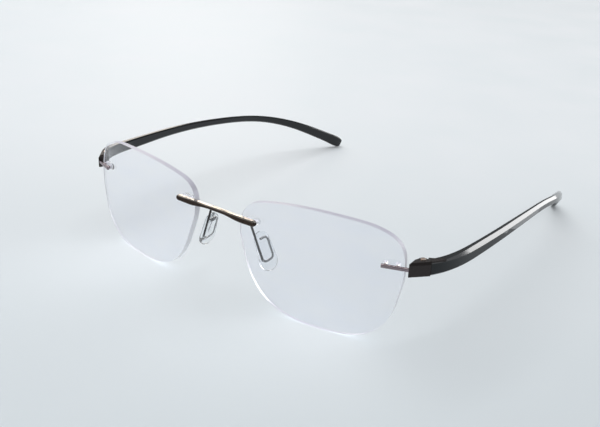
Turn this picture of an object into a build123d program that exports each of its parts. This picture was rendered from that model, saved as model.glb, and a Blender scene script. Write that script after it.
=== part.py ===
from build123d import *
import os
from math import cos, radians, sin, sqrt

# Rimless eyeglasses, in millimetres. +Z is up, the lenses face -Y and the temples run back along +Y.
# Every one-sided piece is drawn for the +X side, which is the wearer's left, and mirrored for the right.
# While it is drawn, the optical centre line of the front lies at Y = 0 and the lens bottoms at Z = 0.

# --- lenses -----------------------------------------------------------------------------------------
LENS_WIDTH = 51.9  # boxed lens size
LENS_HEIGHT = 36.6
LENS_GAP = 18.2  # shortest distance between the two lenses
LENS_THICKNESS = 1.8
LENS_RADIUS = 130.0  # front curve, nearly plano
FACE_FORM = 9.1  # degrees that each lens turns back towards its temple

# Outline as shares of half the lens width and height, from the temple side over the top.
LENS_OUTLINE = [
    (0.976, 0.003),
    (1.0, 0.363),
    (0.937, 0.723),
    (0.686, 0.928),
    (0.361, 0.988),
    (0.013, 0.999),
    (-0.335, 0.974),
    (-0.647, 0.909),
    (-0.925, 0.733),
    (-0.999, 0.369),
    (-0.939, 0.003),
    (-0.789, -0.488),
    (-0.513, -0.851),
    (-0.261, -0.964),
    (0.013, -0.999),
    (0.307, -0.985),
    (0.573, -0.908),
    (0.884, -0.491),
]

# --- compression mounts: metal pins held in clear double sleeves ---------------------------------------
PIN_RADIUS = 0.42
SLEEVE_WALL = 0.3
SLEEVE_CAP = 0.2  # closed end of the sleeve behind the pin
SLEEVE_FIT = 0.02  # pin in sleeve and sleeve in lens, per side
SHOULDER_RADIUS = 0.55  # collar that keeps the metal off the lens
SURFACE_GAP = 0.08  # collars and flanges stop this far off the curved glass
FLANGE_THICKNESS = 0.45
FLANGE_RADIUS = 1.05

# --- bridge bar ---------------------------------------------------------------------------------------
BRIDGE_LAP = 6.55  # how far the bar runs out over each lens
BRIDGE_DEPTH = 1.3
BRIDGE_HEIGHT = 1.8  # over the lenses
BRIDGE_WAIST = 1.25  # height between the lenses
BRIDGE_ARCH = 0.35  # rise of the middle
BRIDGE_LEVEL = 9.7  # above the lens centre
BRIDGE_STANDOFF = 0.45  # bar to lens front
BRIDGE_BEVEL = 0.28
BRIDGE_PIN_INSET = 1.3  # outer pin to the end of the bar
BRIDGE_PIN_PITCH = 2.8
BRIDGE_PIN_DROP = 0.3  # pins sit a little under the middle of the bar

# --- nose pads on wire arms -----------------------------------------------------------------------------
WIRE_RADIUS = 0.36
ARM_ROOT_INSET = 1.65  # arm root, inside the edge of the lens
ARM_ELBOW_BACK = 6.9  # elbow behind the bar
ARM_ELBOW_DROP = 3.5  # and under it
ARM_ELBOW_OUT = 0.6  # and further out than the root
PAD_LEAN = 20.6  # degrees that the pad leans out towards its foot
PAD_RAKE = 5.5  # degrees that the pad runs back towards its foot
PAD_SPLAY = 6.0  # degrees that the pad opens towards the back
PAD_WIDTH = 6.5
PAD_TOP_WIDTH = 5.2
PAD_LENGTH = 12.8
PAD_THICKNESS = 2.6
PAD_EDGE = 1.15  # rounding of the pad's rim
PAD_DROP = 10.7  # elbow to pad centre, along the arm
LOOP_WIDTH = 4.2
LOOP_LIFT = 0.6  # loop above the pad's centre
LOOP_LENGTH = 7.2
LOOP_MOUTH = 0.75  # open end of the wire loop, off the first leg
WIRE_BEND = 1.3

# --- endpieces -----------------------------------------------------------------------------------------
ROD_LAP = 6.4  # how far the rod runs in over the lens
ROD_OVERHANG = 1.2  # and out past its edge
ROD_LEVEL = 7.3  # above the lens centre
ROD_HEIGHT = 1.1
ROD_DEPTH = 0.8
ROD_STANDOFF = 0.25
ROD_PIN_INSET = 1.0
ROD_PIN_PITCH = 3.4
ROD_TURN = 20.5  # degrees off X
ROD_BURIED = 2.0  # brazed length inside the hinge block

# --- hinge ----------------------------------------------------------------------------------------------
BLOCK_TURN = 40.5  # degrees that the block's outer face turns off Y
BLOCK_LENGTH = 6.3
BLOCK_BOTTOM = 5.3  # above the lens centre
BLOCK_HEIGHT = 4.15
BLOCK_FRONT_THICKNESS = 2.0
BLOCK_FRONT_BEVEL = 0.55
BLOCK_TOP_BEVEL = 0.75
BLOCK_BEVEL = 0.2
AXIS_BEHIND_FRONT = 4.65  # hinge axis, from the block's front corner along its face
AXIS_INSIDE_FACE = 2.05  # and in from the outer face
BARREL_RADIUS = 1.25
KNUCKLE_BOTTOM = 1.1  # thickness of the block's lower knuckle
KNUCKLE_MIDDLE = 1.65  # slot for the leaf
KNUCKLE_PLAY = 0.06  # leaf to block, up and down
SCREW_RADIUS = 0.55
SCREW_RUNNING_FIT = 0.05
SCREW_THREAD_FIT = 0.01
SCREW_HEAD_RADIUS = 0.85
SCREW_HEAD_HEIGHT = 0.45
SCREW_HEAD_RECESS = 0.2
SCREW_SLOT = (0.24, 0.2)  # width, depth
SLOT_WALL = 0.7  # outer wall left beside the leaf
TURN_CLEARANCE = 0.12  # round the leaf's barrel
SEAM_GAP = 0.15  # block to temple when open

# --- temples ---------------------------------------------------------------------------------------------
TEMPLE_REACH = 135.0  # hinge axis to the end of the tip, straight back
TEMPLE_FRONT_WIDTH = 3.4
TEMPLE_FRONT_HEIGHT = 3.75
TEMPLE_TOP_BEVEL = 0.95
TEMPLE_BEVEL_START = 0.25  # bevel at the front, full after the first eighth
TEMPLE_EDGE = 0.45
LEAF_THICKNESS = 1.2
LEAF_WEB = 1.0
TANG_LENGTH = 5.0
MOULD_FIT = 0.02  # leaf in the moulded temple
TONGUE_LENGTH = 4.6
TONGUE_THICKNESS = 0.5
TONGUE_SINK = 0.1
TONGUE_TURN = 43.0  # degrees off Y
TANG_TURN = 22.0  # degrees off Y

# Rows of the temple from front to tip: share of the reach, distance outward of the hinge axis, share of
# the drop from hinge to tip, width, height, and how much the outer face leans out towards the bottom.
TEMPLE_ROWS = [
    (0.0521, 4.20, -0.005, 3.00, 3.75, 0.30),
    (0.1513, 6.00, -0.002, 2.85, 3.55, 0.40),
    (0.2521, 6.63, -0.001, 2.85, 3.05, 0.45),
    (0.3595, 6.67, 0.019, 2.70, 2.70, 0.45),
    (0.4595, 6.18, 0.062, 2.45, 2.50, 0.40),
    (0.5632, 5.35, 0.130, 2.30, 2.45, 0.35),
    (0.6595, 4.40, 0.230, 2.25, 2.55, 0.30),
    (0.7484, 2.05, 0.367, 2.20, 2.90, 0.20),
    (0.8299, -1.30, 0.545, 2.15, 3.45, 0.15),
    (0.9039, -4.96, 0.750, 2.10, 4.05, 0.10),
    (0.9595, -7.90, 0.920, 2.05, 4.50, 0.10),
    (0.9880, -9.60, 1.012, 1.90, 4.35, 0.10),
    (1.0000, -10.30, 1.050, 1.00, 3.00, 0.05),
]
TIP_HEIGHT = 2.75  # middle of the tip above the table


def unit(vector: Vector) -> Vector:
    return vector / vector.length


def plan(degrees_off_y: float) -> Vector:
    """Level direction that turns from straight back towards the outside."""
    return Vector(sin(radians(degrees_off_y)), cos(radians(degrees_off_y)), 0)


# Places that several pieces share.
EDGE_SAG = LENS_RADIUS - sqrt(LENS_RADIUS**2 - (LENS_WIDTH / 2) ** 2)
LENS_X = LENS_GAP / 2 + LENS_WIDTH / 2 * cos(radians(FACE_FORM)) + EDGE_SAG * sin(radians(FACE_FORM))
LENS_CENTRE = Vector(LENS_X, 0, LENS_HEIGHT / 2)
LENS_FRONT = Vector(sin(radians(FACE_FORM)), -cos(radians(FACE_FORM)), 0)
LENS_OUT = Vector(cos(radians(FACE_FORM)), sin(radians(FACE_FORM)), 0)
CURVE_CENTRE = LENS_CENTRE - LENS_FRONT * LENS_RADIUS
LENS_PLANE = Plane(origin=LENS_CENTRE, x_dir=LENS_OUT, z_dir=LENS_FRONT)


def reach_surface(start: Vector, direction: Vector, radius: float) -> float:
    """Distance from a point in front of the lens, along a direction, to a sphere of the lens."""
    offset = start - CURVE_CENTRE
    along = offset.dot(direction)
    return -along - sqrt(along**2 - offset.dot(offset) + radius**2)


def to_front(start: Vector, direction: Vector) -> float:
    return reach_surface(start, direction, LENS_RADIUS)


def to_back(start: Vector, direction: Vector) -> float:
    return reach_surface(start, direction, LENS_RADIUS - LENS_THICKNESS)


def rod(start: Vector, direction: Vector, radius: float, length: float) -> Part:
    """Round bar from a point along a direction."""
    return extrude(Plane(origin=start, z_dir=direction) * Circle(radius), length)


def block_box(along: tuple, inside: tuple, level: tuple) -> Part:
    """Box in the hinge block's own directions: along its face, in from the face, and height."""
    size = (along[1] - along[0], inside[1] - inside[0], level[1] - level[0])
    middle = Vector((along[0] + along[1]) / 2, (inside[0] + inside[1]) / 2, (level[0] + level[1]) / 2)
    return BLOCK_PLANE * Pos(*middle) * Box(*size)


def block_point(along: float, inside: float, level: float) -> Vector:
    return BLOCK_CORNER + BLOCK_ALONG * along + BLOCK_IN * inside + Vector(0, 0, level)


# The bridge pins run straight back. The bar's back face stands off the lens at the outer pin.
BRIDGE_HALF = LENS_GAP / 2 + BRIDGE_LAP
BRIDGE_Z = LENS_CENTRE.Z + BRIDGE_LEVEL
BRIDGE_PIN_Z = BRIDGE_Z - BRIDGE_PIN_DROP
BACKWARD = Vector(0, 1, 0)
BRIDGE_PINS = [BRIDGE_HALF - BRIDGE_PIN_INSET - step * BRIDGE_PIN_PITCH for step in (0, 1)]
BRIDGE_BACK_Y = min(
    to_front(Vector(x, -10, BRIDGE_Z), BACKWARD) - 10 for x in (*BRIDGE_PINS, BRIDGE_HALF)
) - BRIDGE_STANDOFF

# The rod lies along the outer part of the lens and bends into the hinge block.
ROD_Z = LENS_CENTRE.Z + ROD_LEVEL
LENS_EDGE = LENS_CENTRE + LENS_OUT * (LENS_WIDTH / 2) - LENS_FRONT * (EDGE_SAG + 0.25)
ROD_ALONG = Vector(cos(radians(ROD_TURN)), sin(radians(ROD_TURN)), 0)
ROD_PIN_AXIS = Vector(-sin(radians(ROD_TURN)), cos(radians(ROD_TURN)), 0)
ROD_MIDDLE_OFF = ROD_STANDOFF + ROD_DEPTH / 2
ROD_CORNER = Vector(LENS_EDGE.X, LENS_EDGE.Y, ROD_Z) + ROD_ALONG * ROD_OVERHANG - ROD_PIN_AXIS * (ROD_MIDDLE_OFF + 0.1)
ROD_END = ROD_CORNER - ROD_ALONG * (ROD_LAP + ROD_OVERHANG)
ROD_PINS = [ROD_END + ROD_ALONG * (ROD_PIN_INSET + step * ROD_PIN_PITCH) for step in (0, 1)]

# The hinge block hangs on the rod's corner.
BLOCK_ALONG = plan(BLOCK_TURN)
BLOCK_IN = Vector(-BLOCK_ALONG.Y, BLOCK_ALONG.X, 0)
BLOCK_CORNER = Vector(ROD_CORNER.X, ROD_CORNER.Y, 0) - BLOCK_IN * (ROD_DEPTH / 2 + 0.12) - BLOCK_ALONG * 0.15
BLOCK_PLANE = Plane(origin=BLOCK_CORNER, x_dir=BLOCK_ALONG, z_dir=(0, 0, 1))
BLOCK_LOW = LENS_CENTRE.Z + BLOCK_BOTTOM
BLOCK_HIGH = BLOCK_LOW + BLOCK_HEIGHT
HINGE_AXIS = block_point(AXIS_BEHIND_FRONT, AXIS_INSIDE_FACE, 0)
LEAF_LOW = BLOCK_LOW + KNUCKLE_BOTTOM
LEAF_HIGH = LEAF_LOW + KNUCKLE_MIDDLE


def make_lens() -> Part:
    """Lens blank between two spheres, cut to the outline and drilled for both mounts."""
    half = (LENS_WIDTH / 2, LENS_HEIGHT / 2)
    rim = Spline(*[(u * half[0], v * half[1]) for u, v in LENS_OUTLINE], periodic=True)
    blank = extrude(make_face(rim), LENS_THICKNESS / 2) + extrude(make_face(rim), -12)
    curve_middle = Pos(0, 0, -LENS_RADIUS)
    outer = curve_middle * Sphere(LENS_RADIUS, rotation=(90, 0, 0))
    inner = curve_middle * Sphere(LENS_RADIUS - LENS_THICKNESS, rotation=(90, 0, 0))
    lens = LENS_PLANE * ((blank & outer) - inner)
    hole = PIN_RADIUS + SLEEVE_WALL + 2 * SLEEVE_FIT
    for x in BRIDGE_PINS:
        lens -= rod(Vector(x, -8, BRIDGE_PIN_Z), BACKWARD, hole, 16)
    for pin in ROD_PINS:
        lens -= rod(pin, ROD_PIN_AXIS, hole, 8)
    return lens


def bridge_outline() -> Face:
    """Front view of the bar: round ends, a waist between the lenses and a slight arch."""
    end = BRIDGE_HEIGHT / 2
    waist = BRIDGE_WAIST / 2
    shoulder = LENS_GAP / 2 - 0.6
    straight = BRIDGE_HALF - end
    top = [(-straight, end), (-shoulder, end), (-shoulder / 2, waist + 0.8 * BRIDGE_ARCH), (0, waist + BRIDGE_ARCH)]
    top += [(-x, z) for x, z in reversed(top[:-1])]
    low = [(straight, -end), (shoulder, -end), (shoulder / 2, 0.8 * BRIDGE_ARCH - waist), (0, BRIDGE_ARCH - waist)]
    low += [(-x, z) for x, z in reversed(low[:-1])]
    right = ThreePointArc((straight, end), (BRIDGE_HALF, 0), (straight, -end))
    left = ThreePointArc((-straight, -end), (-BRIDGE_HALF, 0), (-straight, end))
    upper = Spline(*top, tangents=[(1, 0), (1, 0)])
    lower = Spline(*low, tangents=[(-1, 0), (-1, 0)])
    return make_face(Wire([upper, right, lower, left]))


def make_bridge() -> Part:
    """Bar across the front with two collared pins through each lens."""
    front_plane = Plane(origin=(0, BRIDGE_BACK_Y, BRIDGE_Z), x_dir=(1, 0, 0), z_dir=(0, -1, 0))
    bar = front_plane * extrude(bridge_outline(), BRIDGE_DEPTH)
    front_rim = bar.faces().sort_by(Axis.Y)[0].edges()
    bar = chamfer(front_rim, BRIDGE_BEVEL)
    for side in (-1, 1):
        for x in BRIDGE_PINS:
            root = Vector(side * x, BRIDGE_BACK_Y, BRIDGE_PIN_Z)
            left_root = Vector(x, BRIDGE_BACK_Y, BRIDGE_PIN_Z)
            collar = to_front(left_root, BACKWARD) - SURFACE_GAP
            back = to_back(left_root, BACKWARD)
            bar += rod(root - BACKWARD * 0.3, BACKWARD, SHOULDER_RADIUS, collar + 0.3)
            bar += rod(root, BACKWARD, PIN_RADIUS, back)
    return bar


def flange_start(root: Vector, direction: Vector) -> float:
    """Distance from a pin's root to the front face of the sleeve's flange."""
    return to_back(root, direction) + SURFACE_GAP + FLANGE_RADIUS * 0.08


def make_sleeve(roots: list, direction: Vector) -> Part:
    """Two clear barrels in the lens joined by one flange behind it."""
    barrel = PIN_RADIUS + SLEEVE_WALL + SLEEVE_FIT
    flange_at = max(flange_start(root, direction) for root in roots)
    pitch = roots[0] - roots[1]
    ends = [root + direction * flange_at for root in roots]
    middle = (ends[0] + ends[1]) / 2
    plate_plane = Plane(origin=middle, x_dir=unit(pitch), z_dir=direction)
    sleeve = plate_plane * extrude(SlotCenterToCenter(pitch.length, 2 * FLANGE_RADIUS), FLANGE_THICKNESS)
    for root in roots:
        start = to_front(root, direction) + SURFACE_GAP
        sleeve += rod(root + direction * start, direction, barrel, flange_at - start + 0.1)
    bore = flange_at + FLANGE_THICKNESS - SLEEVE_CAP
    for root in roots:
        sleeve -= rod(root, direction, PIN_RADIUS + SLEEVE_FIT, bore)
    return sleeve


def pad_directions() -> tuple:
    """Down the pad, across it to the back, and out of it towards the nose."""
    down = unit(Vector(sin(radians(PAD_LEAN)), sin(radians(PAD_RAKE)), -cos(radians(PAD_LEAN))))
    splay = plan(PAD_SPLAY)
    across = unit(splay - down * splay.dot(down))
    return down, across, across.cross(down)


ARM_ROOT = Vector(LENS_GAP / 2 - ARM_ROOT_INSET, BRIDGE_BACK_Y - 0.4, BRIDGE_Z - 0.1)
ARM_ELBOW = Vector(ARM_ROOT.X + ARM_ELBOW_OUT, BRIDGE_BACK_Y + ARM_ELBOW_BACK, BRIDGE_Z - ARM_ELBOW_DROP)
PAD_DOWN, PAD_ACROSS, PAD_FACE = pad_directions()
FOOT_SIDE = 1 if PAD_FACE.cross(PAD_ACROSS).dot(PAD_DOWN) > 0 else -1
PAD_CENTRE = ARM_ELBOW + PAD_DOWN * PAD_DROP + PAD_ACROSS * (LOOP_WIDTH / 2)


def make_pad_arm() -> Part:
    """Wire from the back of the bar, down into the pad, round a loop and back up."""
    low = PAD_DOWN * (LOOP_LENGTH / 2)
    near = PAD_ACROSS * (-LOOP_WIDTH / 2)
    middle = PAD_CENTRE - PAD_DOWN * LOOP_LIFT
    path = FilletPolyline(
        ARM_ROOT,
        ARM_ELBOW,
        middle + low + near,
        middle + low - near,
        middle - low - near,
        middle - low + near + PAD_ACROSS * (LOOP_MOUTH + 2 * WIRE_RADIUS),
        radius=WIRE_BEND,
    )
    section = Plane(origin=path @ 0, z_dir=path % 0) * Circle(WIRE_RADIUS)
    arm = sweep(section, path=path)
    bar_back = Plane(origin=(0, BRIDGE_BACK_Y, 0), x_dir=(1, 0, 0), z_dir=(0, 1, 0))
    return split(arm, bisect_by=bar_back, keep=Keep.TOP)


def make_nose_pad(arm: Part) -> Part:
    """Silicone cushion moulded round the loop of its arm."""
    face = Plane(origin=PAD_CENTRE, x_dir=PAD_ACROSS, z_dir=PAD_FACE)
    foot = Pos(0, FOOT_SIDE * (PAD_LENGTH - PAD_WIDTH) / 2) * Circle(PAD_WIDTH / 2)
    head = Pos(0, -FOOT_SIDE * (PAD_LENGTH - PAD_TOP_WIDTH) / 2) * Circle(PAD_TOP_WIDTH / 2)
    outline = make_hull(foot.edges() + head.edges())
    cushion = extrude(outline, PAD_THICKNESS / 2, both=True)
    rims = cushion.faces().sort_by(Axis.Z)[0].edges() + cushion.faces().sort_by(Axis.Z)[-1].edges()
    return face * fillet(rims, PAD_EDGE) - arm


def make_endpiece_rod() -> Part:
    """Flat strip over the lens, bent into the hinge block, with two collared pins."""
    buried = ROD_CORNER + BLOCK_ALONG * (ROD_BURIED + 1)
    path = FilletPolyline(ROD_END, ROD_CORNER, buried, radius=1.0)
    section = Plane(origin=ROD_END, x_dir=(0, 0, 1), z_dir=ROD_ALONG) * RectangleRounded(
        ROD_HEIGHT, ROD_DEPTH, 0.25
    )
    strip = sweep(section, path=path)
    for pin in ROD_PINS:
        collar = to_front(pin, ROD_PIN_AXIS) - SURFACE_GAP
        back = to_back(pin, ROD_PIN_AXIS)
        strip += rod(pin, ROD_PIN_AXIS, SHOULDER_RADIUS, collar)
        strip += rod(pin, ROD_PIN_AXIS, PIN_RADIUS, back)
    return strip


def make_hinge_block(strip: Part) -> Part:
    """Block with the outer knuckles: a slot for the leaf, a screw hole and bevelled outer edges."""
    corners = [
        (0, 0),
        (BLOCK_LENGTH, 0),
        (BLOCK_LENGTH, AXIS_INSIDE_FACE),
        (AXIS_BEHIND_FRONT, AXIS_INSIDE_FACE + BARREL_RADIUS),
        (AXIS_BEHIND_FRONT - 1.6, BLOCK_FRONT_THICKNESS + 0.55),
        (1.3, BLOCK_FRONT_THICKNESS - 0.1),
        (0.2, 0.75),
    ]
    outline = make_face(Polyline(*corners, close=True))
    barrel = Pos(AXIS_BEHIND_FRONT, AXIS_INSIDE_FACE) * Circle(BARREL_RADIUS)
    plan_face = outline + barrel
    solid = extrude(plan_face, BLOCK_HEIGHT)
    outer_top = solid.edges().filter_by(Axis.X).sort_by(Axis.Y)[0:2].sort_by(Axis.Z)[-1]
    solid = chamfer(outer_top, BLOCK_TOP_BEVEL, BLOCK_BEVEL * 2)
    front_top = [e for e in solid.faces().sort_by(Axis.Z)[-1].edges() if e.center().X < 1.1]
    front_top = [e for e in front_top if e.center().Y > 0.3]
    solid = chamfer(front_top, BLOCK_FRONT_BEVEL)
    block = BLOCK_PLANE * Pos(0, 0, BLOCK_LOW) * solid
    slot_level = (LEAF_LOW, LEAF_HIGH)
    slot_in = (SLOT_WALL, AXIS_INSIDE_FACE + 3)
    block -= block_box((AXIS_BEHIND_FRONT, BLOCK_LENGTH + 1), slot_in, slot_level)
    block -= rod(HINGE_AXIS + Vector(0, 0, LEAF_LOW), Vector(0, 0, 1), BARREL_RADIUS + TURN_CLEARANCE, KNUCKLE_MIDDLE)
    block -= rod(HINGE_AXIS + Vector(0, 0, LEAF_LOW), Vector(0, 0, 1), SCREW_RADIUS + SCREW_RUNNING_FIT, 6)
    block -= rod(HINGE_AXIS, Vector(0, 0, 1), SCREW_RADIUS + SCREW_THREAD_FIT, 40)
    recess = HINGE_AXIS + Vector(0, 0, BLOCK_HIGH - SCREW_HEAD_RECESS)
    block -= rod(recess, Vector(0, 0, 1), SCREW_HEAD_RADIUS + SCREW_RUNNING_FIT, 2)
    return block - strip


def make_hinge_screw() -> Part:
    """Slotted screw that the temple turns on."""
    up = Vector(0, 0, 1)
    foot = HINGE_AXIS + Vector(0, 0, BLOCK_LOW + 0.1)
    seat = BLOCK_HIGH - SCREW_HEAD_RECESS
    screw = rod(foot, up, SCREW_RADIUS, seat - foot.Z)
    screw += rod(HINGE_AXIS + up * seat, up, SCREW_HEAD_RADIUS, SCREW_HEAD_HEIGHT)
    slot_low = seat + SCREW_HEAD_HEIGHT - SCREW_SLOT[1]
    slot = BLOCK_PLANE * Pos(AXIS_BEHIND_FRONT, AXIS_INSIDE_FACE, slot_low + 0.5)
    return screw - slot * Rot(0, 0, 35) * Box(3, SCREW_SLOT[0], 1)


# The temple's front face lies against the block's rear face.
TEMPLE_START = block_point(BLOCK_LENGTH + SEAM_GAP, TEMPLE_FRONT_WIDTH / 2, 0)
TEMPLE_TOP = BLOCK_HIGH - TONGUE_THICKNESS + TONGUE_SINK
TEMPLE_Z = TEMPLE_TOP - TEMPLE_FRONT_HEIGHT / 2


def temple_section(share: float, width: float, height: float, lean: float) -> Wire:
    """Flat top, bevelled outer top edge, outer face leaning out, softened corners."""
    edge = min(TEMPLE_EDGE, 0.2 * min(width, height))
    grown = min(1, share * 8)
    full = min(TEMPLE_TOP_BEVEL, 0.35 * min(width, height))
    bevel = TEMPLE_BEVEL_START + (full - TEMPLE_BEVEL_START) * grown
    inner, outer = -width / 2, width / 2
    top, low = height / 2, -height / 2
    corners = [
        (inner + edge, top),
        (outer - lean - bevel, top),
        (outer - lean, top - bevel),
        (outer, low + edge),
        (outer - edge, low),
        (inner + edge, low),
        (inner, low + edge),
        (inner, top - edge),
    ]
    return Polyline(*corners, close=True)


def temple_points() -> list:
    """Middle of each row of the temple."""
    drop = TEMPLE_Z - TIP_HEIGHT
    return [
        HINGE_AXIS + Vector(out, share * TEMPLE_REACH, TEMPLE_Z - fall * drop)
        for share, out, fall, *_ in TEMPLE_ROWS
    ]


def temple_body() -> Part:
    """Moulded temple lofted through its rows, from the slanted front face to the tip."""
    points = temple_points()
    front = TEMPLE_START + Vector(0, 0, TEMPLE_Z)
    front_plane = Plane(origin=front, x_dir=-BLOCK_IN, z_dir=-BLOCK_ALONG)
    sections = [front_plane * temple_section(0, TEMPLE_FRONT_WIDTH, TEMPLE_FRONT_HEIGHT, TEMPLE_ROWS[0][5])]
    for row, here in enumerate(points):
        before = points[row - 1] if row else front
        after = points[row + 1] if row + 1 < len(points) else here
        heading = unit(after - before)
        level = unit(heading.cross(Vector(0, 0, 1)))
        plane = Plane(origin=here, x_dir=level, z_dir=-heading)
        share, _, _, width, height, lean = TEMPLE_ROWS[row]
        sections.append(plane * temple_section(share, width, height, lean))
    return loft([Face(Wire(s.edges())) for s in sections])


def leaf_shape(grow: float) -> Part:
    """Leaf without its bore: barrel, neck, web, tang and tongue, grown by a fit for its pocket."""
    half = LEAF_THICKNESS / 2 + grow
    low, high = LEAF_LOW + KNUCKLE_PLAY - grow, LEAF_HIGH - KNUCKLE_PLAY + grow
    web = (BLOCK_LENGTH + SEAM_GAP + 0.05, BLOCK_LENGTH + SEAM_GAP + 0.05 + LEAF_WEB + grow)
    inside = (AXIS_INSIDE_FACE - half, AXIS_INSIDE_FACE + half)
    shape = rod(HINGE_AXIS + Vector(0, 0, low), Vector(0, 0, 1), BARREL_RADIUS, high - low)
    shape += block_box((AXIS_BEHIND_FRONT, web[1]), inside, (low, high))
    shape += block_box((web[0] - grow, web[1]), (inside[0] - 0.3, inside[1] + 0.3), (low, BLOCK_HIGH - 0.1))
    tang_start = block_point(web[1] - 0.5, AXIS_INSIDE_FACE, (low + high) / 2)
    tang_plane = Plane(origin=tang_start, x_dir=plan(TANG_TURN), z_dir=(0, 0, 1))
    shape += tang_plane * Pos(TANG_LENGTH / 2) * Box(TANG_LENGTH + 2 * grow, 2 * half, high - low)
    return shape


def tongue() -> Part:
    """Thin tapered tongue that lies on the temple's top."""
    start = BLOCK_LENGTH + SEAM_GAP + 0.05
    root_outer = block_point(start, BLOCK_TOP_BEVEL * 0.6, BLOCK_HIGH - TONGUE_THICKNESS)
    root_inner = block_point(start, AXIS_INSIDE_FACE + 0.9, BLOCK_HIGH - TONGUE_THICKNESS)
    tip = (root_outer + root_inner) / 2 + plan(TONGUE_TURN) * TONGUE_LENGTH
    side = Vector(plan(TONGUE_TURN).Y, -plan(TONGUE_TURN).X, 0) * 0.2
    outline = Polyline(root_outer, tip + side, tip - side, root_inner, close=True)
    return extrude(make_face(outline), TONGUE_THICKNESS, dir=(0, 0, 1))


def make_hinge_leaf() -> Part:
    """Metal leaf of the temple: barrel on the screw, tang in the temple, tongue on top of it."""
    leaf = leaf_shape(0) + tongue()
    low = HINGE_AXIS + Vector(0, 0, LEAF_LOW - 1)
    return leaf - rod(low, Vector(0, 0, 1), SCREW_RADIUS + SCREW_RUNNING_FIT, KNUCKLE_MIDDLE + 2)


def make_temple() -> Part:
    """Temple with the pocket that its leaf is moulded into."""
    tongue_seat = extrude(tongue().faces().sort_by(Axis.Z)[0], TONGUE_THICKNESS + 1, dir=(0, 0, 1))
    return temple_body() - leaf_shape(MOULD_FIT) - tongue_seat


def build() -> dict:
    """Every piece by name, resting on Z = 0 with the origin under the middle of the whole."""
    pieces = {"bridge": make_bridge()}
    strip = make_endpiece_rod()
    arm = make_pad_arm()
    bridge_roots = [Vector(x, BRIDGE_BACK_Y, BRIDGE_PIN_Z) for x in BRIDGE_PINS]
    one_side = {
        "lens": make_lens(),
        "bridge_sleeve": make_sleeve(bridge_roots, BACKWARD),
        "pad_arm": arm,
        "nose_pad": make_nose_pad(arm),
        "endpiece_rod": strip,
        "endpiece_sleeve": make_sleeve(ROD_PINS, ROD_PIN_AXIS),
        "hinge_block": make_hinge_block(strip),
        "hinge_screw": make_hinge_screw(),
        "hinge_leaf": make_hinge_leaf(),
        "temple": make_temple(),
    }
    for name, piece in one_side.items():
        pieces[f"left_{name}"] = piece
        pieces[f"right_{name}"] = mirror(piece, about=Plane.YZ)
    box = Compound(children=[Compound(piece.solids()) for piece in pieces.values()]).bounding_box()
    shift = Pos(0, -(box.min.Y + box.max.Y) / 2, -box.min.Z)
    return {name: shift * piece for name, piece in pieces.items()}, shift


if __name__ == "__main__":
    os.makedirs("parts", exist_ok=True)
    placed, shift = build()
    for name, piece in placed.items():
        export_step(piece, f"parts/{name}.step")
    print("shift", shift.position, "hinge axis", HINGE_AXIS + shift.position)
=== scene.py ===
"""Rimless eyeglasses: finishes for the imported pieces, and a studio round them."""

import logging
import math
from dataclasses import dataclass, field
from enum import Enum
from typing import Any, Callable

import bpy
from mathutils import Matrix, Vector

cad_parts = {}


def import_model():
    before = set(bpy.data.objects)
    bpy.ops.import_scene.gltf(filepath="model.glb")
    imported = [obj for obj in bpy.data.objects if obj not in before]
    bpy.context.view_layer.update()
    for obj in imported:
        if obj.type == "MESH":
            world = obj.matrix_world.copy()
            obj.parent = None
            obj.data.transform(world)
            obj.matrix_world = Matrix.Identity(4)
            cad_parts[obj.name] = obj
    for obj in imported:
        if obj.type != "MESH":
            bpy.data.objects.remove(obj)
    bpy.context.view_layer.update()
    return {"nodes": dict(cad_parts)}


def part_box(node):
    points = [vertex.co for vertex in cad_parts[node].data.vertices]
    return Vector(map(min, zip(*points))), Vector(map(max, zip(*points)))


LOG = logging.getLogger("eyeglasses")
MM = 0.001
# A finish that lets through at least this share of light casts no shadow.
CLEAR = 0.9
# Noise seldom goes past these values, so they are stretched to zero and one.
NOISE_SPAN = {"From Min": 0.3, "From Max": 0.7}
NOISE_SETTINGS = {"Scale": 1.0, "Detail": 3.0, "Roughness": 0.55}

Nodes = dict[str, bpy.types.Object]


class Side(Enum):
    """The wearer's sides: left is +X."""

    LEFT = ("left", 1.0)
    RIGHT = ("right", -1.0)

    @property
    def label(self) -> str:
        """Word that starts the names of this side's pieces."""
        return self.value[0]

    @property
    def sign(self) -> float:
        """Sign of X on this side."""
        return self.value[1]


def linear(code: str) -> tuple[float, float, float, float]:
    """Turn an sRGB hex colour into linear values.

    Args:
        code: Colour such as "#8a9099".

    Returns:
        Red, green, blue and an alpha of one, all linear.
    """
    channels = [int(code[i : i + 2], 16) / 255 for i in (1, 3, 5)]
    red, green, blue = (
        c / 12.92 if c <= 0.04045 else ((c + 0.055) / 1.055) ** 2.4 for c in channels
    )
    return (red, green, blue, 1.0)


def add_node(
    tree: bpy.types.NodeTree,
    kind: str,
    settings: dict[str, Any] | None = None,
    links: dict[str, bpy.types.NodeSocket] | None = None,
) -> bpy.types.Node:
    """Add one shader node with its settings and links.

    Args:
        tree: Node tree to add to.
        kind: Blender's type name of the node.
        settings: Attribute or input name to value.
        links: Input name to the socket that feeds it.

    Returns:
        The new node.
    """
    node = tree.nodes.new(kind)
    for name, value in (settings or {}).items():
        if name in node.inputs:
            node.inputs[name].default_value = value
        else:
            setattr(node, name, value)
    for name, socket in (links or {}).items():
        tree.links.new(socket, node.inputs[name])
    return node


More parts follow.
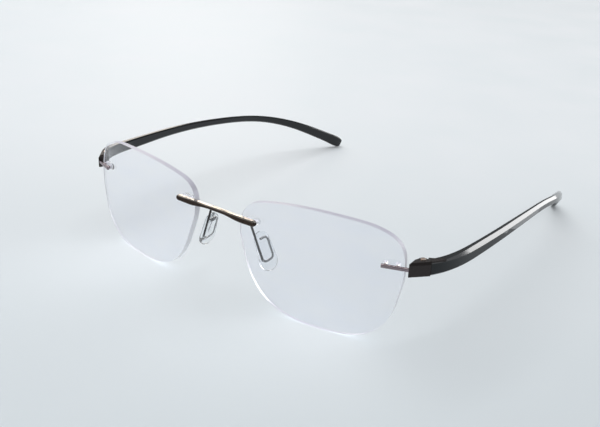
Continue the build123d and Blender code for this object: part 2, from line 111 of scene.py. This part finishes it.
@dataclass(frozen=True)
class Finish:
    """A finish on one base shader, whose colour, roughness and height vary over a fine grain.

    Attributes:
        name: What the real finish is.
        dark: Colour in the low parts of the grain.
        light: Colour in the high parts of the grain.
        metallic: One for metals.
        roughness: Lowest and highest roughness.
        grain_mm: Width of one grain.
        stretch: How much longer the grain is along X, Y and Z.
        relief_mm: Height of the grain.
        ior: Index of refraction; None keeps the shader's default, as on metals.
        specular: Strength of the mirror layer of what isn't metal.
        transmission: Share of light that goes through.
        glow: Strength of a painted glow: light that the surface sends out though it is no lamp.
    """

    name: str
    dark: str
    light: str
    metallic: float = 0.0
    roughness: tuple[float, float] = (0.2, 0.3)
    grain_mm: float = 0.5
    stretch: tuple[float, float, float] = (1.0, 1.0, 1.0)
    relief_mm: float = 0.002
    ior: float | None = None
    specular: float = 0.5
    transmission: float = 0.0
    glow: float = 0.0

    def material(self) -> bpy.types.Material:
        """Make the material, or give the one already made.

        Returns:
            The material.
        """
        made = bpy.data.materials.get(self.name)
        if made is not None:
            return made
        made = bpy.data.materials.new(self.name)
        made.use_nodes = True
        tree = made.node_tree
        tree.nodes.clear()
        settings = {
            "Metallic": self.metallic,
            "Specular IOR Level": self.specular,
            "Transmission Weight": self.transmission,
            "Emission Strength": self.glow,
        }
        if self.ior is not None:
            settings["IOR"] = self.ior
        shader = add_node(tree, "ShaderNodeBsdfPrincipled", settings)
        place = add_node(tree, "ShaderNodeTexCoord")
        grain = self.grain(tree, place)
        tree.links.new(self.colour(tree, place, grain), shader.inputs["Base Color"])
        spread = {"To Min": self.roughness[0], "To Max": self.roughness[1]}
        rough = add_node(tree, "ShaderNodeMapRange", spread, {"Value": grain})
        tree.links.new(rough.outputs["Result"], shader.inputs["Roughness"])
        relief = {"Strength": 1.0, "Distance": self.relief_mm * MM}
        bump = add_node(tree, "ShaderNodeBump", relief, {"Height": grain})
        tree.links.new(bump.outputs["Normal"], shader.inputs["Normal"])
        add_node(tree, "ShaderNodeOutputMaterial", links={"Surface": shader.outputs["BSDF"]})
        return made

    def grain(self, tree: bpy.types.NodeTree, place: bpy.types.Node) -> bpy.types.NodeSocket:
        """Add the grain's noise in object space, stretched to run from zero to one.

        Args:
            tree: Node tree to add to.
            place: Node that gives the coordinates.

        Returns:
            The grain's socket.
        """
        size = [1.0 / (self.grain_mm * MM * s) for s in self.stretch]
        spot = {"Vector": place.outputs["Object"]}
        mapping = add_node(tree, "ShaderNodeMapping", {"Scale": size}, spot)
        spot = {"Vector": mapping.outputs["Vector"]}
        texture = add_node(tree, "ShaderNodeTexNoise", NOISE_SETTINGS, spot)
        height = {"Value": texture.outputs["Fac"]}
        return add_node(tree, "ShaderNodeMapRange", NOISE_SPAN, height).outputs["Result"]

    def colour(
        self, tree: bpy.types.NodeTree, place: bpy.types.Node, grain: bpy.types.NodeSocket
    ) -> bpy.types.NodeSocket:
        """Mix the two colours by the grain.

        Args:
            tree: Node tree to add to.
            place: Node that gives the coordinates.
            grain: The grain's socket.

        Returns:
            The colour's socket.
        """
        pair = {"Color1": linear(self.dark), "Color2": linear(self.light)}
        return add_node(tree, "ShaderNodeMixRGB", pair, {"Fac": grain}).outputs["Color"]


@dataclass(frozen=True)
class EdgeFinish(Finish):
    """A ground lens edge with painted light: painted shade where it faces up, and painted white
    light below, where the real edge gathers light.

    Attributes:
        top: Colour of the painted shade where the edge faces up.
        turn: Height of the normal where the edge is all painted white light, and where it is
            all the painted shade's.
    """

    top: str = "#c6c4d4"
    turn: tuple[float, float] = (-0.5, 0.7)

    def colour(
        self, tree: bpy.types.NodeTree, place: bpy.types.Node, grain: bpy.types.NodeSocket
    ) -> bpy.types.NodeSocket:
        """Mix the grained colour with the painted shade of the top by how far the edge faces
        up.

        Args:
            tree: Node tree to add to.
            place: Node that gives the coordinates.
            grain: The grain's socket.

        Returns:
            The colour's socket.
        """
        below = super().colour(tree, place, grain)
        # Painted shade on up-facing edge faces, painted white light on down-facing ones.
        normal = {"Vector": place.outputs["Normal"]}
        split = add_node(tree, "ShaderNodeSeparateXYZ", links=normal)
        span = {"From Min": self.turn[0], "From Max": self.turn[1]}
        up = add_node(tree, "ShaderNodeMapRange", span, {"Value": split.outputs["Z"]})
        links = {"Fac": up.outputs["Result"], "Color1": below}
        mixed = add_node(tree, "ShaderNodeMixRGB", {"Color2": linear(self.top)}, links)
        return mixed.outputs["Color"]


@dataclass(frozen=True)
class BoardFinish(Finish):
    """A matt board with a painted shade that darkens its tone towards the near right.

    Attributes:
        shade: Colour of the painted shade, where the tone has fallen off.
        bright: Where the tone is full, along the fall-off, in metres.
        dim: Where the tone has fallen off, along the fall-off, in metres.
        turn: Direction of the fall-off, in degrees about Z.
    """

    shade: str = "#d8dfe3"
    bright: float = -0.1
    dim: float = 0.15
    turn: float = 53.0

    def colour(
        self, tree: bpy.types.NodeTree, place: bpy.types.Node, grain: bpy.types.NodeSocket
    ) -> bpy.types.NodeSocket:
        """Mix the grained colour with the shade's along the fall-off.

        Args:
            tree: Node tree to add to.
            place: Node that gives the coordinates.
            grain: The grain's socket.

        Returns:
            The colour's socket.
        """
        full = super().colour(tree, place, grain)
        spin = {"Rotation": (0.0, 0.0, math.radians(self.turn))}
        spot = {"Vector": place.outputs["Object"]}
        turned = add_node(tree, "ShaderNodeMapping", spin, spot)
        spot = {"Vector": turned.outputs["Vector"]}
        split = add_node(tree, "ShaderNodeSeparateXYZ", links=spot)
        span = {"From Min": self.bright, "From Max": self.dim}
        # The painted shade: darker towards the near right.
        fall = add_node(tree, "ShaderNodeMapRange", span, {"Value": split.outputs["X"]})
        links = {"Fac": fall.outputs["Result"], "Color1": full}
        mixed = add_node(tree, "ShaderNodeMixRGB", {"Color2": linear(self.shade)}, links)
        return mixed.outputs["Color"]


# Hard-coated lens plastic, cast and polished: almost clear, a faint blue-violet cast, mirror
# smooth with the slightest smear where it was wiped.
LENS_PLASTIC = Finish(
    "hard_coated_lens_plastic", "#f8f9fe", "#fcfcfe", roughness=(0.0, 0.012), grain_mm=9.0,
    stretch=(1.0, 1.0, 0.35), relief_mm=0.0004, ior=1.5, transmission=1.0,
)
# Ground lens edge: painted lilac-grey shade on top and painted white light below, where the
# real edge lets out the light that the lens gathers; its glow is painted light too. The fine
# grinding shows as a mist.
LENS_EDGE = EdgeFinish(
    "ground_lens_edge_painted_light", "#f2f4ff", "#ffffff", roughness=(0.3, 0.42), grain_mm=0.6,
    relief_mm=0.002, ior=1.5, transmission=0.25, glow=0.1,
)
# Clear polycarbonate sleeve, moulded: nearly unseen, with a watery gloss at its rims. It bends
# light less than the real one's 1.585, so that it doesn't show dark outlines.
SLEEVE_PLASTIC = Finish(
    "moulded_clear_polycarbonate", "#fafbfd", "#ffffff", roughness=(0.04, 0.1), grain_mm=0.8,
    relief_mm=0.001, ior=1.2, specular=0.8, transmission=1.0,
)
# Silicone nose pad, moulded: water-clear with a soft sheen and wet highlights. It bends light
# less than the real one's 1.41, so that it stays as faint.
PAD_SILICONE = Finish(
    "moulded_clear_silicone", "#f4f7f9", "#fcfdfe", roughness=(0.08, 0.18), grain_mm=1.4,
    relief_mm=0.006, ior=1.22, specular=0.9, transmission=1.0,
)
# Bronze-black vacuum-coated steel, brushed along the bar: dark warm metal with pale flashes.
BRIDGE_STEEL = Finish(
    "bronze_black_coated_steel", "#2a2320", "#4a3d36", metallic=1.0, roughness=(0.16, 0.28),
    grain_mm=0.12, stretch=(14.0, 1.0, 1.0), relief_mm=0.0015,
)
# The same bar's top faces, a paler copy of its metal: a painted highlight of pale gold in long
# flashes.
BRIDGE_TOP_PAINTED_HIGHLIGHT = Finish(
    "pale_gold_steel_painted_highlight", "#2c2420", "#fff4e8", metallic=1.0, roughness=(0.12, 0.2),
    grain_mm=0.7, stretch=(9.0, 1.0, 1.0), relief_mm=0.001,
)
# Gunmetal-plated strip, polished: mirror-like with a pink-grey cast.
ENDPIECE_STEEL = Finish(
    "polished_gunmetal_plate", "#6b6064", "#a8999e", metallic=1.0, roughness=(0.10, 0.2),
    grain_mm=0.1, stretch=(12.0, 6.0, 1.0), relief_mm=0.001,
)
# Blasted and coated hinge metal: even satin anthracite with a fine sparkle.
HINGE_METAL = Finish(
    "blasted_anthracite_metal", "#353132", "#4b4644", metallic=1.0, roughness=(0.3, 0.46),
    grain_mm=0.14, relief_mm=0.006,
)
# Drawn and coated spring wire: dark, smooth, drawn along its length.
ARM_WIRE = Finish(
    "coated_spring_wire", "#2c2828", "#484241", metallic=1.0, roughness=(0.18, 0.3),
    grain_mm=0.1, stretch=(1.0, 1.0, 10.0), relief_mm=0.001,
)
# Turned screw with a bright copper-nickel plate: a warm mirror with fine turning marks.
SCREW_PLATE = Finish(
    "turned_copper_nickel_plate", "#efd6c4", "#fff6ee", metallic=1.0, roughness=(0.12, 0.22),
    grain_mm=0.06, relief_mm=0.001,
)
# Glossy injection-moulded nylon: deep black with the faintest moulding ripple.
TEMPLE_NYLON = Finish(
    "gloss_black_nylon", "#070b0e", "#0c1216", roughness=(0.07, 0.13), grain_mm=2.2,
    stretch=(1.0, 3.0, 1.0), relief_mm=0.004, ior=1.53, specular=0.42,
)
# The same nylon's outer bevel, a lighter copy of it with a stronger mirror layer: a painted
# highlight, so that it mirrors the lights as a white band. Its IOR is above nylon's 1.53, so
# that the band is brighter.
TEMPLE_BEVEL = Finish(
    "nylon_bevel_painted_highlight", "#14181d", "#1c2127", roughness=(0.08, 0.15), grain_mm=2.2,
    stretch=(1.0, 4.0, 1.0), relief_mm=0.003, ior=1.9, specular=1.0,
)
# Matt painted board, sprayed: pale blue-grey with the faintest broad clouds of tone.
# Its tone falls off towards the near right as painted shade.
FLOOR_BOARD = BoardFinish(
    "matt_pale_board_painted_shade", "#e9eef1", "#eceff2", roughness=(0.5, 0.6), grain_mm=60.0, relief_mm=0.0,
)


def dress_node(node: bpy.types.Object, finish: Finish) -> None:
    """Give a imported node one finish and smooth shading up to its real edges.

    Args:
        node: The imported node's object.
        finish: Finish to give it. A clear one takes away the node's shadow.
    """
    node.data.materials.clear()
    node.data.materials.append(finish.material())
    node.visible_shadow = finish.transmission < CLEAR
    for polygon in node.data.polygons:
        polygon.use_smooth = True
    LOG.info("%s: %s", node.name, finish.name)


def dress_faces(
    node: bpy.types.Object, finish: Finish, wanted: Callable[[Vector], bool]
) -> None:
    """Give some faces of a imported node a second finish.

    Args:
        node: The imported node's object.
        finish: Finish to give them.
        wanted: Says of a face's normal whether the face gets the finish.
    """
    node.data.materials.append(finish.material())
    last = len(node.data.materials) - 1
    for polygon in node.data.polygons:
        if wanted(polygon.normal):
            polygon.material_index = last
    LOG.info("%s, some faces: %s", node.name, finish.name)


@dataclass
class Lenses:
    """Both lenses: two polished faces and a misty ground edge.

    Attributes:
        nodes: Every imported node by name.
        edge_turn: A face belongs to the edge if its normal leans less than this to the front.
    """

    nodes: Nodes
    edge_turn: float = 0.55

    def build(self) -> None:
        """Dress both lens nodes."""
        for side in Side:
            node = self.nodes[f"{side.label}_lens"]
            dress_node(node, LENS_PLASTIC)
            low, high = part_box(node.name)
            across = Vector((high.x - low.x, (high.y - low.y) * side.sign, 0)).normalized()
            forward = Vector((across.y, -across.x, 0))
            # The edge faces get painted shade where they face up and painted light below.
            dress_faces(node, LENS_EDGE, lambda n, f=forward: abs(n.dot(f)) < self.edge_turn)


@dataclass
class Front:
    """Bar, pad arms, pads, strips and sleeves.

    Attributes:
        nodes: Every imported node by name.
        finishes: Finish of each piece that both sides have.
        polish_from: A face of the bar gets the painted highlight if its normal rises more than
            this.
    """

    nodes: Nodes
    finishes: dict[str, Finish] = field(
        default_factory=lambda: {
            "pad_arm": ARM_WIRE,
            "nose_pad": PAD_SILICONE,
            "bridge_sleeve": SLEEVE_PLASTIC,
            "endpiece_sleeve": SLEEVE_PLASTIC,
            "endpiece_rod": ENDPIECE_STEEL,
        }
    )
    polish_from: float = 0.5

    def build(self) -> None:
        """Dress the bar and both sides' pieces."""
        dress_node(self.nodes["bridge"], BRIDGE_STEEL)
        # The bar's up-facing faces get a painted highlight, a paler copy of its metal.
        dress_faces(self.nodes["bridge"], BRIDGE_TOP_PAINTED_HIGHLIGHT, lambda n: n.z > self.polish_from)
        for side in Side:
            for piece, finish in self.finishes.items():
                dress_node(self.nodes[f"{side.label}_{piece}"], finish)


@dataclass
class Hinges:
    """Blocks, leaves and screws.

    Attributes:
        nodes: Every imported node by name.
        finishes: Finish of each piece that both sides have.
    """

    nodes: Nodes
    finishes: dict[str, Finish] = field(
        default_factory=lambda: {
            "hinge_block": HINGE_METAL,
            "hinge_leaf": HINGE_METAL,
            "hinge_screw": SCREW_PLATE,
        }
    )

    def build(self) -> None:
        """Dress both hinges."""
        for side in Side:
            for piece, finish in self.finishes.items():
                dress_node(self.nodes[f"{side.label}_{piece}"], finish)


@dataclass
class Temples:
    """Both moulded temples.

    Attributes:
        nodes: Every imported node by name.
        bevel_from: Least rise of the normal on the outer bevel.
        bevel_to: Most rise of the normal on the outer bevel.
        outward: Least outward lean of the normal on the outer bevel.
    """

    nodes: Nodes
    bevel_from: float = 0.3
    bevel_to: float = 0.85
    outward: float = 0.3

    def build(self) -> None:
        """Dress both temples, with a painted highlight, a lighter copy of the nylon, on the
        outer bevel.
        """
        for side in Side:
            node = self.nodes[f"{side.label}_temple"]
            dress_node(node, TEMPLE_NYLON)
            # The outer bevel's faces get a painted highlight.
            dress_faces(node, TEMPLE_BEVEL, lambda n, s=side: self.is_bevel(n, s))

    def is_bevel(self, normal: Vector, side: Side) -> bool:
        """Say whether a face is part of the outer bevel.

        Args:
            normal: The face's normal.
            side: Side that the temple is on.

        Returns:
            True on the bevel.
        """
        rises = self.bevel_from < normal.z < self.bevel_to
        return rises and normal.x * side.sign > self.outward


@dataclass(frozen=True)
class Softbox:
    """A rectangular studio light aimed at a point.

    Attributes:
        name: What the light does.
        direction: From the object's middle towards the light.
        distance: How far away, in metres.
        size: Width and height, in metres.
        power: Watts.
        colour: sRGB hex colour.
    """

    name: str
    direction: tuple[float, float, float]
    distance: float
    size: tuple[float, float]
    power: float
    colour: str = "#ffffff"

    def build(self, aim: Vector) -> None:
        """Make the light.

        Args:
            aim: Point that the light faces.
        """
        data = bpy.data.lights.new(self.name, "AREA")
        data.shape = "RECTANGLE"
        data.size, data.size_y = self.size
        data.energy = self.power
        data.color = linear(self.colour)[:3]
        light = bpy.data.objects.new(self.name, data)
        bpy.context.scene.collection.objects.link(light)
        away = Vector(self.direction).normalized()
        light.location = aim + away * self.distance
        light.rotation_mode = "QUATERNION"
        light.rotation_quaternion = away.to_track_quat("Z", "Y")
        LOG.info("%s", self.name)


# The overhead softbox gives the floor its tone, and the window adds a little light from -X. The
# left temple's outer bevel mirrors the rear softbox, and the bar's top mirrors the side card.
LIGHTS = (
    Softbox("overhead_softbox", (-0.25, 0.1, 1.0), 1.1, (1.2, 1.2), 9.0, "#fdfeff"),
    Softbox("window", (-1.0, 0.15, 0.55), 1.0, (0.45, 0.45), 0.7, "#f9fcff"),
    Softbox("rear_softbox", (0.27, 0.93, 0.2), 1.5, (0.85, 0.95), 7.5),
    Softbox("side_card", (-0.68, 0.64, 0.36), 1.2, (0.34, 0.3), 0.9, "#fff6ea"),
)


@dataclass
class Studio:
    """Floor, lights, surroundings and camera.

    Attributes:
        bridge: Lowest and highest corners of the bar, which the camera's aim starts from.
        azimuth: Camera's turn from the front towards +X, in degrees.
        elevation: Camera's height over the horizon, in degrees.
        roll: Camera's turn about its own axis, in degrees.
        distance: Camera to its aim, in metres.
        focal_mm: Focal length.
        sensor_mm: Width of the sensor.
        clip: Nearest and furthest that the camera sees, in metres.
        aim_from_bridge: Aim from the middle of the bar, in metres.
        floor_half: Half the floor's width, in metres.
        floor_gap: How far the floor lies under the object, in metres, so that they don't share
            a plane.
        sky_colour: sRGB hex colour of the surroundings.
        sky_strength: Brightness of the surroundings.
    """

    bridge: tuple[Vector, Vector]
    azimuth: float = 35.525
    elevation: float = 23.109
    roll: float = 2.984
    distance: float = 0.300
    focal_mm: float = 49.30
    sensor_mm: float = 36.0
    clip: tuple[float, float] = (0.01, 50.0)
    aim_from_bridge: tuple[float, float, float] = (-0.00825, 0.05433, -0.0210)
    floor_half: float = 3.0
    floor_gap: float = 0.00002
    sky_colour: str = "#eef1f3"
    sky_strength: float = 0.36

    def build(self) -> None:
        """Make everything round the object."""
        middle = (self.bridge[0] + self.bridge[1]) / 2
        self.camera(middle + Vector(self.aim_from_bridge))
        self.floor()
        self.sky()
        for light in LIGHTS:
            light.build(Vector((0, 0, 0)))
        bpy.context.scene.view_settings.view_transform = "Standard"

    def camera(self, aim: Vector) -> None:
        """Make the camera.

        Args:
            aim: Point in the middle of the view.
        """
        az, el, roll = (math.radians(v) for v in (self.azimuth, self.elevation, self.roll))
        back = Vector((math.sin(az) * math.cos(el), -math.cos(az) * math.cos(el), math.sin(el)))
        level = Vector((math.cos(az), math.sin(az), 0))
        upright = back.cross(level)
        right = level * math.cos(roll) + upright * math.sin(roll)
        up = upright * math.cos(roll) - level * math.sin(roll)
        data = bpy.data.cameras.new("camera")
        data.lens = self.focal_mm
        data.sensor_width = self.sensor_mm
        data.clip_start, data.clip_end = self.clip
        camera = bpy.data.objects.new("camera", data)
        bpy.context.scene.collection.objects.link(camera)
        place = Matrix((right, up, back)).transposed().to_4x4()
        place.translation = aim + back * self.distance
        camera.matrix_world = place
        bpy.context.scene.camera = camera
        LOG.info("camera")

    def floor(self) -> None:
        """Make the floor, a pale board with a soft painted shade towards the near right."""
        mesh = bpy.data.meshes.new("floor")
        half = self.floor_half
        corners = [(-half, -half, 0), (half, -half, 0), (half, half, 0), (-half, half, 0)]
        mesh.from_pydata(corners, [], [(0, 1, 2, 3)])
        floor = bpy.data.objects.new("floor", mesh)
        floor.location.z = -self.floor_gap
        bpy.context.scene.collection.objects.link(floor)
        mesh.materials.append(FLOOR_BOARD.material())
        LOG.info("floor")

    def sky(self) -> None:
        """Give the surroundings a pale tone."""
        world = bpy.data.worlds.new("surroundings")
        world.use_nodes = True
        tree = world.node_tree
        tree.nodes.clear()
        shade = {"Color": linear(self.sky_colour), "Strength": self.sky_strength}
        back = add_node(tree, "ShaderNodeBackground", shade)
        add_node(tree, "ShaderNodeOutputWorld", links={"Surface": back.outputs["Background"]})
        bpy.context.scene.world = world


def main() -> None:
    """Build the whole scene."""
    logging.basicConfig(level=logging.INFO, format="%(name)s: %(message)s")
    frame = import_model()
    nodes = frame["nodes"]
    Lenses(nodes).build()
    Front(nodes).build()
    Hinges(nodes).build()
    Temples(nodes).build()
    Studio(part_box("bridge")).build()


if __name__ == "__main__":
    main()
